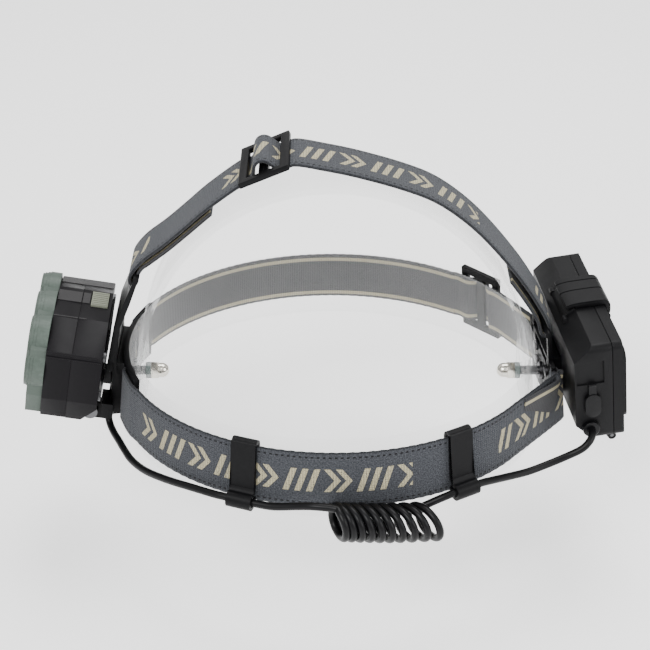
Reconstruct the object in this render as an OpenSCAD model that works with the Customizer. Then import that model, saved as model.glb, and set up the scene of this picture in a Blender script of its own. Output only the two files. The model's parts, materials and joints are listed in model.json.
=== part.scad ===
// Miner's cap lamp: a tilting lamp head and a rear battery box on webbing straps,
// worn on a clear display former. Millimetres, +Z up, lamp at -X, battery box at +X.
// The origin is the centre of the head band, halfway up its webbing.

/* [Head band] */
// Half length of the band, front to rear
band_a = 93.5; // [92:0.25:95]
// Half width of the band, side to side
band_b = 82; // [81:0.25:83]
// Lean of the band towards the crown, in degrees
band_lean = 6.5; // [6:0.25:7]
// Width of the webbing
web_w = 25; // [23:0.5:25.5]
// Thickness of the webbing
web_t = 1.4; // [1.1:0.1:1.4]

/* [Display former] */
// Height of the clear ring
form_h = 34; // [32:0.5:35]
// Thickness of the clear ring and arch
form_t = 2.5; // [2:0.1:2.6]
// Height of the clear arch above the band's middle
arch_h = 96; // [94:0.5:97]
// Width of the clear arch
arch_w = 30; // [26:1:31]

/* [Lamp head] */
// Upward tilt of the lamp at rest, in degrees
lamp_tilt = 10.5; // [9.5:0.5:11]
// Turn of the lamp about the vertical, in degrees
lamp_yaw = 1.5; // [0.5:0.5:2]
// Distance of the lamp's rear face in front of the origin
lamp_reach = 99.1; // [98.9:0.1:99.6]
// Height of the lamp's middle above the origin
lamp_rise = 13; // [12.5:0.5:13.5]
// Depth of the coloured bezel
bezel_d = 8.2; // [7.8:0.2:8.4]
// Depth of the front housing
house_d = 10.8; // [10.4:0.2:11]
// Depth of the rear cover
cover_d = 12.8; // [12.6:0.2:13]

/* [Battery box] */
// Width of the box, side to side
box_w = 78; // [77:0.5:80]
// Height of the box
box_h = 47; // [46.5:0.5:47.5]
// Depth of the fixed half of the box
base_d = 16; // [16:0.1:16.4]
// Depth of the swinging cover
lid_d = 4.6; // [4.6:0.1:5]
// Turn of the box about the vertical, in degrees
box_yaw = 6; // [5:0.5:6]

/* [Lead] */
// Diameter of the lead
lead_d = 3.2; // [3:0.1:3.3]
// Outer diameter of the curled stretch
coil_d = 16.4; // [15:0.2:16.4]

/* [Hidden] */
$fn = 48;

lean = tan(band_lean);
gap = 0.3;

// Depths measured outwards from the webbing's outer face
form_out = -3.2;
front_in = -3;
front_mid = -0.6;
front_out = 4.2;
rear_in = -1.2;
rear_out = 0.7;

// Plates
plate_h = 28;
slot_w = 3.4;
slot_h = web_w + 1;
front_half = 33;
front_slot = 18;
block_half = 15.2;
tab_top = [-83.2, 54.5];
tab_w = 31;
rear_half = 21.6;
rear_slot = 16.8;
rear_bar_z = 27;

// Former hardware
form_z = -2;
bolt_z = -1.5;
bolt_r = 1.95;
leg_x = 85.2;
acorn_x = 80.2;
hex_flat = 7;

// Lamp head, in its own frame: +X to the rear, the rear face at x = 0
house_x = -cover_d;
bezel_x = house_x - house_d;
front_x = bezel_x - bezel_d;
wall = 2;
hinge_at = [-3, -25.4];
arm_r = 3.8;
arm_in = 11;
arm_out = 16;
yoke_x = 1.2;
yoke_top = -17;
gland_r = 2.4;
pin_r = 1.9;
button = [7.2, 11];
button_at = [-5.2, 4.6];

// Battery box, in its own frame: +X to the rear, the front face at x = 0
box_at = [96.7, -1.3, 11.4];
chamfer_x = 8;
chamfer_top = 6.7;
chamfer_low = 8.5;
corner_r = 3.2;
shell = 2;
cell_r = 9.3;
cell_l = 66;
lid_x = base_d + gap;
lid_hinge = [base_d + gap / 2, -box_h / 2 - 1.9];
knuckle_r = 1.8;
panel_d = 2;
latch_y = 2;
latch_w = 21.5;
latch_hinge = [base_d + lid_d + 0.5, box_h / 2 - 4];
port_x = 7.2;
port_z = -4.7;
tether_up = 10.1;
tether_out = 0.85;
gland_at = [6.2, -16.6];

// Straps
clip_t = [-112.5, -57];
clip_w = 13;
clip_lead = [3.9, -11.2];
crown_slider_at = [-28, 101.8];
crown_slope = 23.5;
side_slider_t = 42;
strap_lift = 0.85;

// Lead: the routes run from the lamp to the curl, and from the curl to the battery box
lead_r = lead_d / 2;
front_route = [
    [-98, -18.8, -11.5], [-98, -19, -13.4], [-97.2, -21, -15.8], [-95.2, -25.5, -17],
    [-92.4, -31, -17.4], [-89.2, -37.2, -18.2], [-85.4, -43.6, -18.8], [-78.6, -52.4, -17.6],
    [-68.4, -62.4, -14.6], [-58.2, -70.2, -12.2], [-49, -76, -11], [-43.7, -78.4, -10.7],
    [-31.4, -82.8, -10.7], [-24, -85.4, -10.2], [-15, -88, -8], [-8, -90.6, -6], [-3, -92.5, -5.4]
];
coil_route = [[-3, -92.5, -12], [20, -89.8, -15], [44, -84, -18.5]];
rear_route = [
    [44.2, -83.9, -12], [47.8, -76.5, -10.7], [59.1, -70, -10.7], [65, -66, -12],
    [72, -61.2, -13.8], [81, -56.2, -15], [90, -52, -14.2], [98, -49.5, -12],
    [104, -48.6, -9], [107.2, -47, -6.4], [108.8, -44.2, -4.8], [109, -41.2, -4.4]
];

// ---- Geometry helpers ----

function unit(v) = v / norm(v);

// Point on the band's plan, off millimetres outside the webbing's outer face
function on_band(t, off = 0) = [(band_a + off) * cos(t), (band_b + off) * sin(t)];

// Angle on the band at which it lies y millimetres to the side
function side_angle(y) = asin(y / band_b);

// Outward normal of a plan path that runs anticlockwise
function normal_at(path, i, loop) =
    let (
        n = len(path),
        a = loop ? path[(i + n - 1) % n] : path[max(i - 1, 0)],
        b = loop ? path[(i + 1) % n] : path[min(i + 1, n - 1)],
        v = unit(b - a)
    ) [v.y, -v.x];

// Smooth curve through points, with steps pieces between each two
function curve(p, steps) = [
    for (i = [0:len(p) - 2])
        for (s = [0:steps - (i == len(p) - 2 ? 0 : 1)])
            let (
                u = s / steps,
                a = p[max(i - 1, 0)],
                b = p[i],
                c = p[i + 1],
                d = p[min(i + 2, len(p) - 1)]
            )
            0.5 * ((2 * b) + (c - a) * u + (2 * a - 5 * b + 4 * c - d) * u * u
                + (3 * b - a - 3 * c + d) * u * u * u)
];

function smooth(u) = let (v = min(max(u, 0), 1)) v * v * (3 - 2 * v);

// Closed skin over rings of equal length, with flat ends or as a loop
module skin(rings, loop = false) {
    m = len(rings[0]);
    n = len(rings);
    points = [for (r = rings) each r];
    sides = [
        for (i = [0:n - (loop ? 1 : 2)])
            for (j = [0:m - 1])
                [i * m + j, i * m + (j + 1) % m, ((i + 1) % n) * m + (j + 1) % m, ((i + 1) % n) * m + j]
    ];
    ends = loop ? [] : [
        [for (j = [m - 1:-1:0]) j],
        [for (j = [0:m - 1]) (n - 1) * m + j]
    ];
    polyhedron(points, concat(sides, ends), convexity = 6);
}

// Leaning wall along a plan path, from depth d0 to d1 and from height z0 to z1
module wall_along(path, d0, d1, z0, z1, loop = false) {
    skin([
        for (i = [0:len(path) - 1])
            let (p = path[i], n = normal_at(path, i, loop))
            [
                for (c = [[d0, z0], [d1, z0], [d1, z1], [d0, z1]])
                    let (q = p + n * (c[0] - c[1] * lean)) [q.x, q.y, c[1]]
            ]
    ], loop);
}

// Arc of the band's plan from angle t0 to t1
function band_arc(t0, t1, n) = [for (i = [0:n]) on_band(t0 + (t1 - t0) * i / n)];

// Round tube along a route
module tube_along(route, r, sides) {
    n = len(route);
    skin([
        for (i = [0:n - 1])
            let (
                p = route[i],
                t = unit(route[min(i + 1, n - 1)] - route[max(i - 1, 0)]),
                u = unit(cross(t, [p.x, p.y, 0])),
                v = cross(t, u)
            )
            [for (j = [0:sides - 1]) p + r * (cos(360 * j / sides) * u - sin(360 * j / sides) * v)]
    ]);
}

// Flat strip of thickness t along an XZ path, w wide in Y
module strip(path, t, w) {
    n = len(path);
    side = function (s) [
        for (i = [0:n - 1])
            let (v = unit(path[min(i + 1, n - 1)] - path[max(i - 1, 0)]))
            path[i] + s * t / 2 * [-v.y, v.x]
    ];
    upper = side(1);
    lower = side(-1);
    rotate([90, 0, 0])
        linear_extrude(w, center = true)
            polygon(concat(upper, [for (i = [n - 1:-1:0]) lower[i]]));
}

// Places children on the band at angle t: +X along the band, +Y outwards
module at_band(t) {
    p = on_band(t);
    along = atan2(band_b * cos(t), -band_a * sin(t));
    translate([p.x, p.y, 0]) rotate([0, 0, along]) mirror([0, 1, 0]) rotate([band_lean, 0, 0]) children();
}

// XZ outline from points, extruded w wide in Y
module profile(points, w) {
    rotate([90, 0, 0]) linear_extrude(w, center = true) polygon(points);
}

module rod_y(r, w) {
    rotate([90, 0, 0]) cylinder(r = r, h = w, center = true);
}

module rod_x(r, x0, x1) {
    translate([x0, 0, 0]) rotate([0, 90, 0]) cylinder(r = r, h = x1 - x0);
}

module both_ends() {
    children();
    mirror([1, 0, 0]) children();
}

module both_sides() {
    children();
    mirror([0, 1, 0]) children();
}

// ---- Clear display former ----

module form_ring() color("gainsboro", 0.4)
    difference() {
        wall_along([for (i = [0:71]) on_band(5 * i)], form_out - form_t, form_out,
            form_z - form_h / 2, form_z + form_h / 2, loop = true);
        translate([0, 0, bolt_z]) rod_x(bolt_r + 0.15, -120, 120);
    }

function arch_path(inset, n) = [
    for (i = [0:n]) let (t = 180 * i / n) [(leg_x - inset) * cos(t), (arch_h - inset) * sin(t)]
];

module form_arch() color("gainsboro", 0.4)
    difference() {
        union() {
            profile(concat(arch_path(0, 48), [for (i = [48:-1:0]) arch_path(form_t, 48)[i]]), arch_w);
            both_ends() translate([leg_x - form_t, -arch_w / 2, -12]) cube([form_t, arch_w, 12.5]);
        }
        translate([0, 0, bolt_z]) rod_x(bolt_r + 0.15, -120, 120);
    }

module form_spacers() color("gainsboro", 0.5)
    both_ends() translate([0, 0, bolt_z]) difference() {
        rod_x(4.5, leg_x + 0.05, band_a + form_out - form_t - 0.6);
        rod_x(bolt_r + 0.15, leg_x - 1, band_a);
    }

module form_bolts() color("silver")
    both_ends() translate([0, 0, bolt_z]) {
        rod_x(bolt_r, acorn_x - 4.5, band_a + form_out + 1);
        rod_x(3.6, band_a + form_out + 0.75, band_a + form_out + 2.3);
    }

module hex_nuts() color("darkgray", 0.7)
    both_ends() translate([0, 0, bolt_z]) difference() {
        translate([acorn_x, 0, 0]) rotate([0, 90, 0])
            cylinder(d = hex_flat / cos(30), h = leg_x - form_t - acorn_x - 0.1, $fn = 6);
        rod_x(bolt_r + 0.05, acorn_x - 1, leg_x);
    }

module acorn_nuts() color("silver")
    both_ends() translate([0, 0, bolt_z]) difference() {
        union() {
            translate([acorn_x - 3.2, 0, 0]) rotate([0, 90, 0])
                cylinder(d = hex_flat / cos(30), h = 3.2, $fn = 6);
            rod_x(3.2, acorn_x - 4.6, acorn_x - 3);
            translate([acorn_x - 4.6, 0, 0]) sphere(3.2);
        }
        rod_x(bolt_r + 0.05, acorn_x - 5, acorn_x + 1);
    }

// ---- Front plate and hinge ----

// Cuts the way for a bolt's head into a plate, from x0 to x1
module head_way(x0, x1) {
    translate([0, 0, bolt_z]) rod_x(4.2, x0, x1);
}

// Band's plan over the front, half wide to each side
function front_arc(half, n) = let (t = side_angle(half)) band_arc(180 - t, 180 + t, n);

module front_plate() color("#1c1c1e")
    difference() {
        union() {
            wall_along(front_arc(front_half, 16), front_in, front_mid, -plate_h / 2, plate_h / 2);
            wall_along(front_arc(block_half, 8), front_in, front_out, -plate_h / 2, 12);
            profile([[-97.6, 8], [-96.8, 14], [-93.2, 30], [-88.3, 41.5], [-83.7, 52], tab_top,
                tab_top + [2.4, 0], [-85.6, 41.5], [-90.4, 30], [-93, 14], [-93, 8]], tab_w);
        }
        for (s = [-1, 1]) at_band(180 + s * side_angle(front_slot))
            cube([slot_w, 14, slot_h], center = true);
        translate([tab_top.x - 1.6, 0, tab_top.y - 5.4]) rotate([0, 24, 0])
            cube([14, web_w + 1, 4], center = true);
        head_way(-band_a - 0.2, -band_a + 6);
    }

module place_lamp() {
    translate([-lamp_reach, 0, lamp_rise]) rotate([0, 0, lamp_yaw]) rotate([0, lamp_tilt, 0]) children();
}

module at_hinge() {
    translate([hinge_at.x, 0, hinge_at.y]) children();
}

// Everything from the front plate's outer face inwards
module behind_front_plate() {
    wall_along(front_arc(44, 20), -40, front_out + 0.1, -40, 60);
}

module hinge_yoke() color("#1c1c1e")
    difference() {
        place_lamp() difference() {
            union() {
                both_sides() translate([0, (arm_in + arm_out) / 2, 0])
                    profile([[yoke_x, yoke_top], [14, yoke_top], [14, hinge_at.y - arm_r],
                        hinge_at - [0, arm_r], hinge_at + [0, arm_r], [yoke_x, hinge_at.y + arm_r]],
                        arm_out - arm_in);
                both_sides() translate([0, (arm_in + arm_out) / 2, 0])
                    at_hinge() rod_y(arm_r, arm_out - arm_in);
                profile([[4, yoke_top], [14, yoke_top], [14, hinge_at.y], [4, hinge_at.y]], 2 * arm_in + 1);
                translate([0, -arm_out - 3, 0])
                    profile([[2, yoke_top], [12, yoke_top], [12, hinge_at.y + 1], [2, hinge_at.y + 1]], 6.6);
            }
            at_hinge() rod_y(pin_r + 0.05, 60);
        }
        behind_front_plate();
        translate(front_route[0]) cylinder(r = gland_r + 0.05, h = 6.2);
        translate(front_route[0] - [0, 0, 20]) cylinder(r = gland_r + 0.6, h = 20);
    }

module hinge_pin() color("silver")
    place_lamp() at_hinge() {
        translate([0, 0.4, 0]) rod_y(pin_r, 2 * arm_out + 3.4);
        translate([0, -arm_out - 1.1, 0]) rod_y(3.4, 1.8);
    }

module hinge_nut() color("dimgray")
    place_lamp() at_hinge() translate([0, arm_out + 1.7, 0]) difference() {
        rotate([90, 0, 0]) cylinder(d = 7 / cos(30), h = 3, center = true, $fn = 6);
        rod_y(pin_r + 0.05, 4);
    }

module friction_washers() color("silver")
    place_lamp() both_sides() at_hinge() translate([0, arm_in - 0.3, 0]) difference() {
        rod_y(3.6, 0.5);
        rod_y(pin_r + 0.05, 2);
    }

// ---- Rear plate ----

// Frame of the rear plate: +X to the rear, x = 0 level with the webbing's outer face
module place_rear() {
    translate([band_a, 0, 0]) rotate([0, 0, box_yaw]) rotate([0, -band_lean, 0]) children();
}

// Point of the rear plate's plan, y along the plate and off outwards
function rear_point(y, off) = [
    band_a + off * cos(box_yaw) - y * sin(box_yaw), off * sin(box_yaw) + y * cos(box_yaw)
];

module rear_plate() color("#1c1c1e")
    difference() {
        union() {
            place_rear() {
                translate([rear_in, -rear_half, -plate_h / 2])
                    cube([rear_out - rear_in, 2 * rear_half, plate_h]);
                both_sides() translate([rear_in, 13.4, 8]) cube([rear_out - rear_in, 2.6, rear_bar_z - 8]);
                translate([(rear_in + rear_out) / 2 - 0.3, 0, rear_bar_z]) rod_y(1.4, 32);
            }
            place_box() translate([-3.9, -14, -14.5]) cube([3.84, 28, 18.5]);
        }
        place_rear() both_sides() translate([0, rear_slot, 0]) cube([14, slot_w, slot_h], center = true);
        place_rear() translate([-6, -11, 9]) cube([6.8, 22, 3.5]);
        head_way(band_a - 6, band_a + 0.2);
        place_box() screw_holes(1.35);
    }

// The four screws that hold the battery box on the rear plate
screw_y = 10.4;
screw_z = [-12, -4.5];

module screw_holes(r) {
    for (y = [-screw_y, screw_y], z = screw_z)
        translate([-8, y, z]) rotate([0, 90, 0]) cylinder(r = r, h = 14);
}

module box_screws() color("silver")
    place_box() for (y = [-screw_y, screw_y], z = screw_z) translate([0, y, z]) {
        rod_x(1.25, -5.6, 1.9);
        rod_x(2.2, -6.8, -5.6);
    }

// ---- Straps ----

// Lift of a side strap's outer face off the band at angle t: it rises over the front plate's ends
function lift(t) = cos(t) > 0 ? 0 : strap_lift * smooth((38 - abs(band_b * sin(t))) / 5);

function strap_path(t0, t1, n) = [for (i = [0:n]) let (t = t0 + (t1 - t0) * i / n) on_band(t, lift(t))];

strap_rear = rear_out + web_t + 0.05;
strap_front_t = side_angle(front_slot + slot_w / 2 + 0.4);
strap_off_t = 35;

module side_strap_near() color("#4a4e56")
    wall_along(concat(
        strap_path(180 + strap_front_t, 360 - strap_off_t, 60),
        [for (y = [-rear_half - 1, -rear_half + 1, -rear_slot - slot_w / 2 - 0.3]) rear_point(y, strap_rear)]
    ), -web_t, 0, -web_w / 2, web_w / 2);

// Depths at which a strap weaves through a three-bar slider, along the strap
weave = [[-12, 0], [-6.3, 0], [-2.3, 4.7], [2.3, 4.7], [6.3, 0], [12, 0]];

module side_strap_far() color("#4a4e56") {
    p = on_band(side_slider_t);
    v = unit([-band_a * sin(side_slider_t), band_b * cos(side_slider_t)]);
    n = [v.y, -v.x];
    wall_along(concat(
        [for (y = [rear_slot + slot_w / 2 + 0.3, rear_half - 1, rear_half + 1]) rear_point(y, strap_rear)],
        [for (w = weave) p + v * w[0] + n * w[1]],
        strap_path(side_slider_t + 10, 180 - strap_front_t, 48)
    ), -web_t, 0, -web_w / 2, web_w / 2);
}

// Three-bar slider in its own frame: bars across Y, strap along X, top towards +Z
module slider() {
    difference() {
        translate([-11, -16.5, -1.2]) cube([22, 33, 2.4]);
        for (x = [-7.2, 2.1]) translate([x, -13.2, -3]) cube([5.1, 26.4, 6]);
    }
}

module crown_slider() color("#161618")
    translate([crown_slider_at.x, 0, crown_slider_at.y]) rotate([0, -crown_slope, 0]) slider();

module side_slider() color("#161618")
    at_band(side_slider_t) translate([0, 1.35, 0]) rotate([-90, 0, 0]) slider();

// Point of the crown strap's path at the slider, x along it and h above its middle
function on_slider(x, h) = crown_slider_at
    + [x * cos(crown_slope) - h * sin(crown_slope), x * sin(crown_slope) + h * cos(crown_slope)];

under_bar = -2.05;
over_bar = 4.2;
crown_front = [[-85.4, 50.8], [-84.2, 54.8], [-79, 61], [-70.5, 67.8], [-62, 75.4], [-52, 84.6]];
crown_rear = [[-3.5, 102.8], [10, 99.7], [28, 94.2], [42, 88.2], [55, 78.6], [66.5, 66.8],
    [79, 51], [87.4, 38]];

function crown_path() = concat(
    curve(concat(crown_front, [on_slider(-12.5, under_bar)]), 3),
    [for (w = [[-6.4, under_bar], [-2.2, over_bar], [2.2, over_bar], [6.4, under_bar]]) on_slider(w[0], w[1])],
    curve(concat([on_slider(12.5, under_bar)], crown_rear), 3)
);

module crown_strap() color("#4a4e56") strip(crown_path(), web_t, web_w);

module crown_tail() color("#4a4e56")
    strip([for (p = curve([for (i = [2:5]) crown_front[i]], 3)) p + [1.5, -1.7]], web_t, web_w);

module strap_clips() color("#161618")
    for (t = clip_t) at_band(t) difference() {
        union() {
            translate([-clip_w / 2, 0.15, -14]) cube([clip_w, 1.7, 28.6]);
            translate([-clip_w / 2, -2.8, web_w / 2 + 0.35]) cube([clip_w, 3.5, 1.75]);
            translate([-clip_w / 2, -2.8, -web_w / 2 - 1.5]) cube([clip_w, 3.5, 1.35]);
            for (z = [8, -14]) translate([-clip_w / 2, -2.8, z]) cube([clip_w, 1.1, 6.6 - (z < 0 ? 2.6 : 0)]);
            translate([0, clip_lead[0], clip_lead[1]]) rod_x(3.5, -clip_w / 2, clip_w / 2);
        }
        translate([0, clip_lead[0], clip_lead[1]]) rod_x(lead_r + 0.3, -clip_w, clip_w);
    }

// ---- Lead ----

module lead_gland_front() color("#101010")
    translate(front_route[0]) cylinder(r = gland_r, h = 6);

module lead_front() color("#101010") tube_along(curve(front_route, 2), lead_r, 8);

module lead_rear() color("#101010") tube_along(curve(rear_route, 2), lead_r, 8);

module lead_coil() color("#101010") tube_along(curve(coil_route, 5), coil_d / 2, 16);

module lead_gland_rear() color("#101010")
    place_box() translate([gland_at.x, -box_w / 2, gland_at.y]) rotate([90, 0, 0]) difference() {
        union() {
            translate([0, 0, -2.5]) cylinder(r = 2.6, h = 4);
            cylinder(r = 3.6, h = 2);
        }
        translate([0, 0, -4]) cylinder(r = 1.2, h = 8);
    }

// ---- Lamp head ----

// Lamp outline, inset by i
function lamp_outline(i) =
    let (right = [[12 - 0.1 * i, 18 - i], [31 - i, 11.8 - 0.9 * i], [31 - i, -12 + 0.2 * i],
        [27.8 - 0.8 * i, -23 + i]])
    concat(right, [for (k = [3:-1:0]) [-right[k].x, right[k].y]]);

// Slab of the lamp's outline from x0 to x1
module lamp_slab(i, x0, x1) {
    translate([x0, 0, 0]) rotate([90, 0, 90]) linear_extrude(x1 - x0) polygon(lamp_outline(i));
}

// Windows: position and radius of each
windows = [[0, 3, 9.4], [-18.6, 1.2, 8.7], [18.6, 1.2, 8.7], [-9.4, -12.4, 4.2], [9.4, -12.4, 4.2]];
// Scallops of the bezel's edge
scallops = [[0, 5.6, 13.4], [-18, 8.6, 9.7], [18, 8.6, 9.7], [-19.2, 0.4, 12.2], [19.2, 0.4, 12.2]];

module lamp_rod(c, r, x0, x1) {
    translate([0, c[0], c[1]]) rod_x(r, x0, x1);
}

module lamp_bezel() color("#65736a")
    place_lamp() difference() {
        union() {
            lamp_slab(0.9, front_x + 1.6, bezel_x);
            for (s = scallops) lamp_rod(s, s[2], front_x, bezel_x);
        }
        lamp_slab(wall + 0.6, front_x + 4.3, bezel_x + 1);
        for (w = windows) lamp_rod(w, w[2], front_x - 1, bezel_x);
    }

module lamp_front_housing() color("#1d1b20")
    place_lamp() difference() {
        lamp_slab(0, bezel_x, house_x);
        lamp_slab(wall, bezel_x - 1, house_x + 1);
    }

// Lamp outline from x0 to x1, cut back along its lower rear edge, with i as the inset
module cover_shape(i, x0, x1) {
    difference() {
        lamp_slab(i, x0, x1);
        translate([-0.78 * i, 0, 0.62 * i])
            profile([[0.2, -15], [-6.4, -23.2], [-6.4, -40], [9, -40], [9, -15]], 80);
    }
}

module lamp_rear_cover() color("#1d1b20")
    place_lamp() difference() {
        union() {
            difference() {
                cover_shape(0, house_x, 0);
                cover_shape(wall, house_x - 1, -wall);
                translate([button_at.x - button.x / 2 - gap, button_at.y - button.y / 2 - gap, 10])
                    cube([button.x + 2 * gap, button.y + 2 * gap, 20]);
            }
            profile([[-10, -21.4], [-10, -23], hinge_at - [3.4, 2], hinge_at, hinge_at + [arm_r, 0],
                [-1.5, -16.5], [-4, -16.5]], 2 * arm_in - 1.2);
            at_hinge() rod_y(arm_r, 2 * arm_in - 1.2);
        }
        at_hinge() rod_y(pin_r + 0.05, 60);
        both_sides() translate([0, (arm_in + arm_out) / 2, 0])
            at_hinge() rod_y(arm_r + 0.3, arm_out - arm_in + 0.8);
        for (y = [-1, 1], z = [-1, 1]) lamp_rod([24 * y, -2 + 10 * z], 1.3, -4, 1);
    }

module rear_panel() color("#161418")
    place_lamp() translate([0, -13, -4]) cube([1.1, 26, 19]);

module lens() color("white", 0.3)
    place_lamp() lamp_slab(wall + 0.8, front_x + 4.4, front_x + 5.8);

module reflectors() color("silver")
    place_lamp() difference() {
        union() {
            lamp_slab(wall + 0.8, front_x + 5.9, front_x + 7.5);
            for (w = windows) lamp_rod(w, w[2] + 0.6, front_x + 7, -16);
        }
        for (w = windows) translate([0, w[0], w[1]]) rotate([0, 90, 0]) {
            translate([0, 0, front_x + 5.8])
                cylinder(r1 = w[2] - 0.4, r2 = 1.9, h = -16 - front_x - 5.7);
        }
    }

module led_board() color("whitesmoke") place_lamp() lamp_slab(wall + 0.8, -15.9, -14.5);

module led_chips() color("gold")
    place_lamp() for (w = windows) translate([-16.4, w[0] - 1.2, w[1] - 1.2]) cube([0.45, 2.4, 2.4]);

module heat_sink() color("silver")
    place_lamp() {
        lamp_slab(wall + 0.8, -14.4, -12.6);
        for (y = [-24:4:24]) if (abs(y) > 10) translate([-12.7, y - 0.6, -12]) cube([5, 1.2, 22]);
    }

module driver_board() color("darkgreen")
    place_lamp() translate([-7, -9, -14]) cube([1.6, 18, 22]);

module lamp_seal() color("#303030")
    place_lamp() difference() {
        lamp_slab(wall + 0.1, house_x - 1, house_x + 1);
        lamp_slab(wall + 0.7, house_x - 2, house_x + 2);
    }

module lamp_screws() color("silver")
    place_lamp() for (y = [-1, 1], z = [-1, 1]) {
        lamp_rod([24 * y, -2 + 10 * z], 1.25, -4, 0.1);
        lamp_rod([24 * y, -2 + 10 * z], 2.2, 0, 1);
    }

module tact_switch() color("dimgray")
    place_lamp() {
        translate([button_at.x - 3, button_at.y - 3, 8]) cube([6, 6, 3]);
        translate([button_at.x, button_at.y, 10.9]) cylinder(r = 1.6, h = 1);
    }

module switch_button() color("#8b9080")
    place_lamp() translate([button_at.x, button_at.y, 0]) {
        translate([-button.x / 2, -button.y / 2, 14.2]) cube([button.x, button.y, 4.6]);
        translate([-button.x / 2 - 0.9, -button.y / 2 - 0.9, 14.2]) cube([button.x, button.y + 1.8, 1.2]);
        translate([0, 0, 13.1]) cylinder(r = 2, h = 1.2);
    }

// ---- Battery box ----

module place_box() {
    translate(box_at) rotate([0, 0, box_yaw]) rotate([0, -band_lean, 0]) children();
}

// Box outline seen from the side, inset by i, with chamfered front edges
function box_outline(i) = [
    [i, -box_h / 2 + chamfer_low + 0.4 * i], [chamfer_x + 0.4 * i, -box_h / 2 + i], [40, -box_h / 2 + i],
    [40, box_h / 2 - i], [chamfer_x + 0.4 * i, box_h / 2 - i], [i, box_h / 2 - chamfer_top - 0.4 * i]
];

// Upright rectangle w by h with round corners, from x0 to x1
module rounded(w, h, r, x0, x1) {
    translate([x0, 0, 0]) rotate([90, 0, 90]) linear_extrude(x1 - x0)
        offset(r = r) square([w - 2 * r, h - 2 * r], center = true);
}

// Box with its rounded long edges, inset by i, from x0 to x1
module box_layer(i, x0, x1) {
    rounded(box_w - 2 * i, box_h - 2 * i, corner_r - i / 2, x0, x1);
}

module box_slab(i, x1) {
    intersection() {
        profile(box_outline(i), box_w);
        box_layer(i, -1, x1);
    }
}

// Keeper for the latch's nose, along the upper chamfer from s0 up, t thick
module keeper(s0, t) {
    u = unit([chamfer_x, chamfer_top]);
    n = [-u.y, u.x];
    low = [0, box_h / 2 - chamfer_top] + s0 * u;
    high = [chamfer_x, box_h / 2];
    profile([low - 0.5 * n, low + t * n, high + t * n, high - 0.5 * n], latch_w);
    both_sides() translate([low.x + 0.6, latch_w / 2 + 1, low.y + 0.6]) rod_y(1.5, 3.2);
}

// Knuckles of the cover's hinge at each y, on the side of the hinge line that side points to
module lid_knuckles(ys, side) {
    for (y = ys) translate([lid_hinge.x, y, lid_hinge.y]) {
        rod_y(knuckle_r, 11.4);
        translate([side > 0 ? 0.2 : -2.2, -5.7, 0]) cube([2, 11.4, 2.4]);
    }
}

module box_base() color("#232325")
    place_box() difference() {
        union() {
            difference() {
                box_slab(0, base_d);
                box_slab(shell, 60);
            }
            lid_knuckles([-30, 0, 30], -1);
            translate([0, latch_y, 0]) keeper(3.6, 0.9);
        }
        screw_holes(1.35);
        translate([lid_hinge.x, 0, lid_hinge.y]) rod_y(0.85, 100);
        translate([0.9, -box_w / 2 - 1, port_z + tether_up]) cube([11.6, 1.9, 10.8]);
        translate([port_x, -box_w / 2 - 1, port_z]) rotate([-90, 0, 0]) port_shape(2.6, 2.1, 6);
        translate([gland_at.x, -box_w / 2 - 1, gland_at.y]) rotate([-90, 0, 0]) cylinder(r = 2.65, h = 6);
    }

// Upright oval, reach above and below the middle
module port_shape(reach, r, h) {
    for (s = [-1, 1]) translate([0, s * reach, 0]) cylinder(r = r, h = h);
    translate([-r, -reach, 0]) cube([2 * r, 2 * reach, h]);
}

module box_seal() color("#303030")
    place_box() translate([base_d - 1.4, 0, 0]) difference() {
        box_layer(shell + 0.05, 0, 1.2);
        box_layer(shell + 0.8, -1, 3);
    }

cell_x = shell + cell_r + 0.2;

module battery_cells() color("royalblue")
    place_box() for (z = [-1, 1]) translate([cell_x, 0, z * 9.7]) {
        rod_y(cell_r, cell_l);
        translate([0, cell_l / 2, 0]) rod_y(2.8, 1.6);
    }

module contact_springs() color("silver")
    place_box() for (z = [-1, 1]) translate([cell_x, -cell_l / 2 - 0.1, z * 9.7]) rotate([90, 0, 0])
        cylinder(r1 = 2.6, r2 = 3.6, h = 2.6);

module contact_plates() color("silver")
    place_box() for (y = [-cell_l / 2 - 3.3, cell_l / 2 + 0.9]) translate([cell_x - 5.4, y, -15])
        cube([8, 0.5, 30]);

module charge_board() color("darkgreen")
    place_box() translate([shell + 0.4, -36, -2.5]) cube([1.2, 60, 5]);

module charge_socket() color("silver")
    place_box() translate([port_x, -box_w / 2 + 1.9, port_z]) rotate([-90, 0, 0]) difference() {
        port_shape(2.6, 1.9, 0.7);
        translate([0, 0, -1]) port_shape(2.2, 1.2, 1.5);
    }

module port_plug() color("#141414")
    place_box() translate([port_x, -box_w / 2, 0]) {
        translate([0, 0, port_z]) rotate([90, 0, 0]) {
            translate([0, 0, 0.3]) port_shape(2.4, 3.3, 1.4);
            translate([0, 0, -1.1]) port_shape(2.2, 1.6, 1.6);
        }
        translate([-1.6, -1.3, port_z + 5]) cube([3.2, 0.9, tether_up - 5]);
        translate([0, -tether_out, port_z + tether_up]) rod_x(0.6, -1.6, 1.6);
    }

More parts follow.
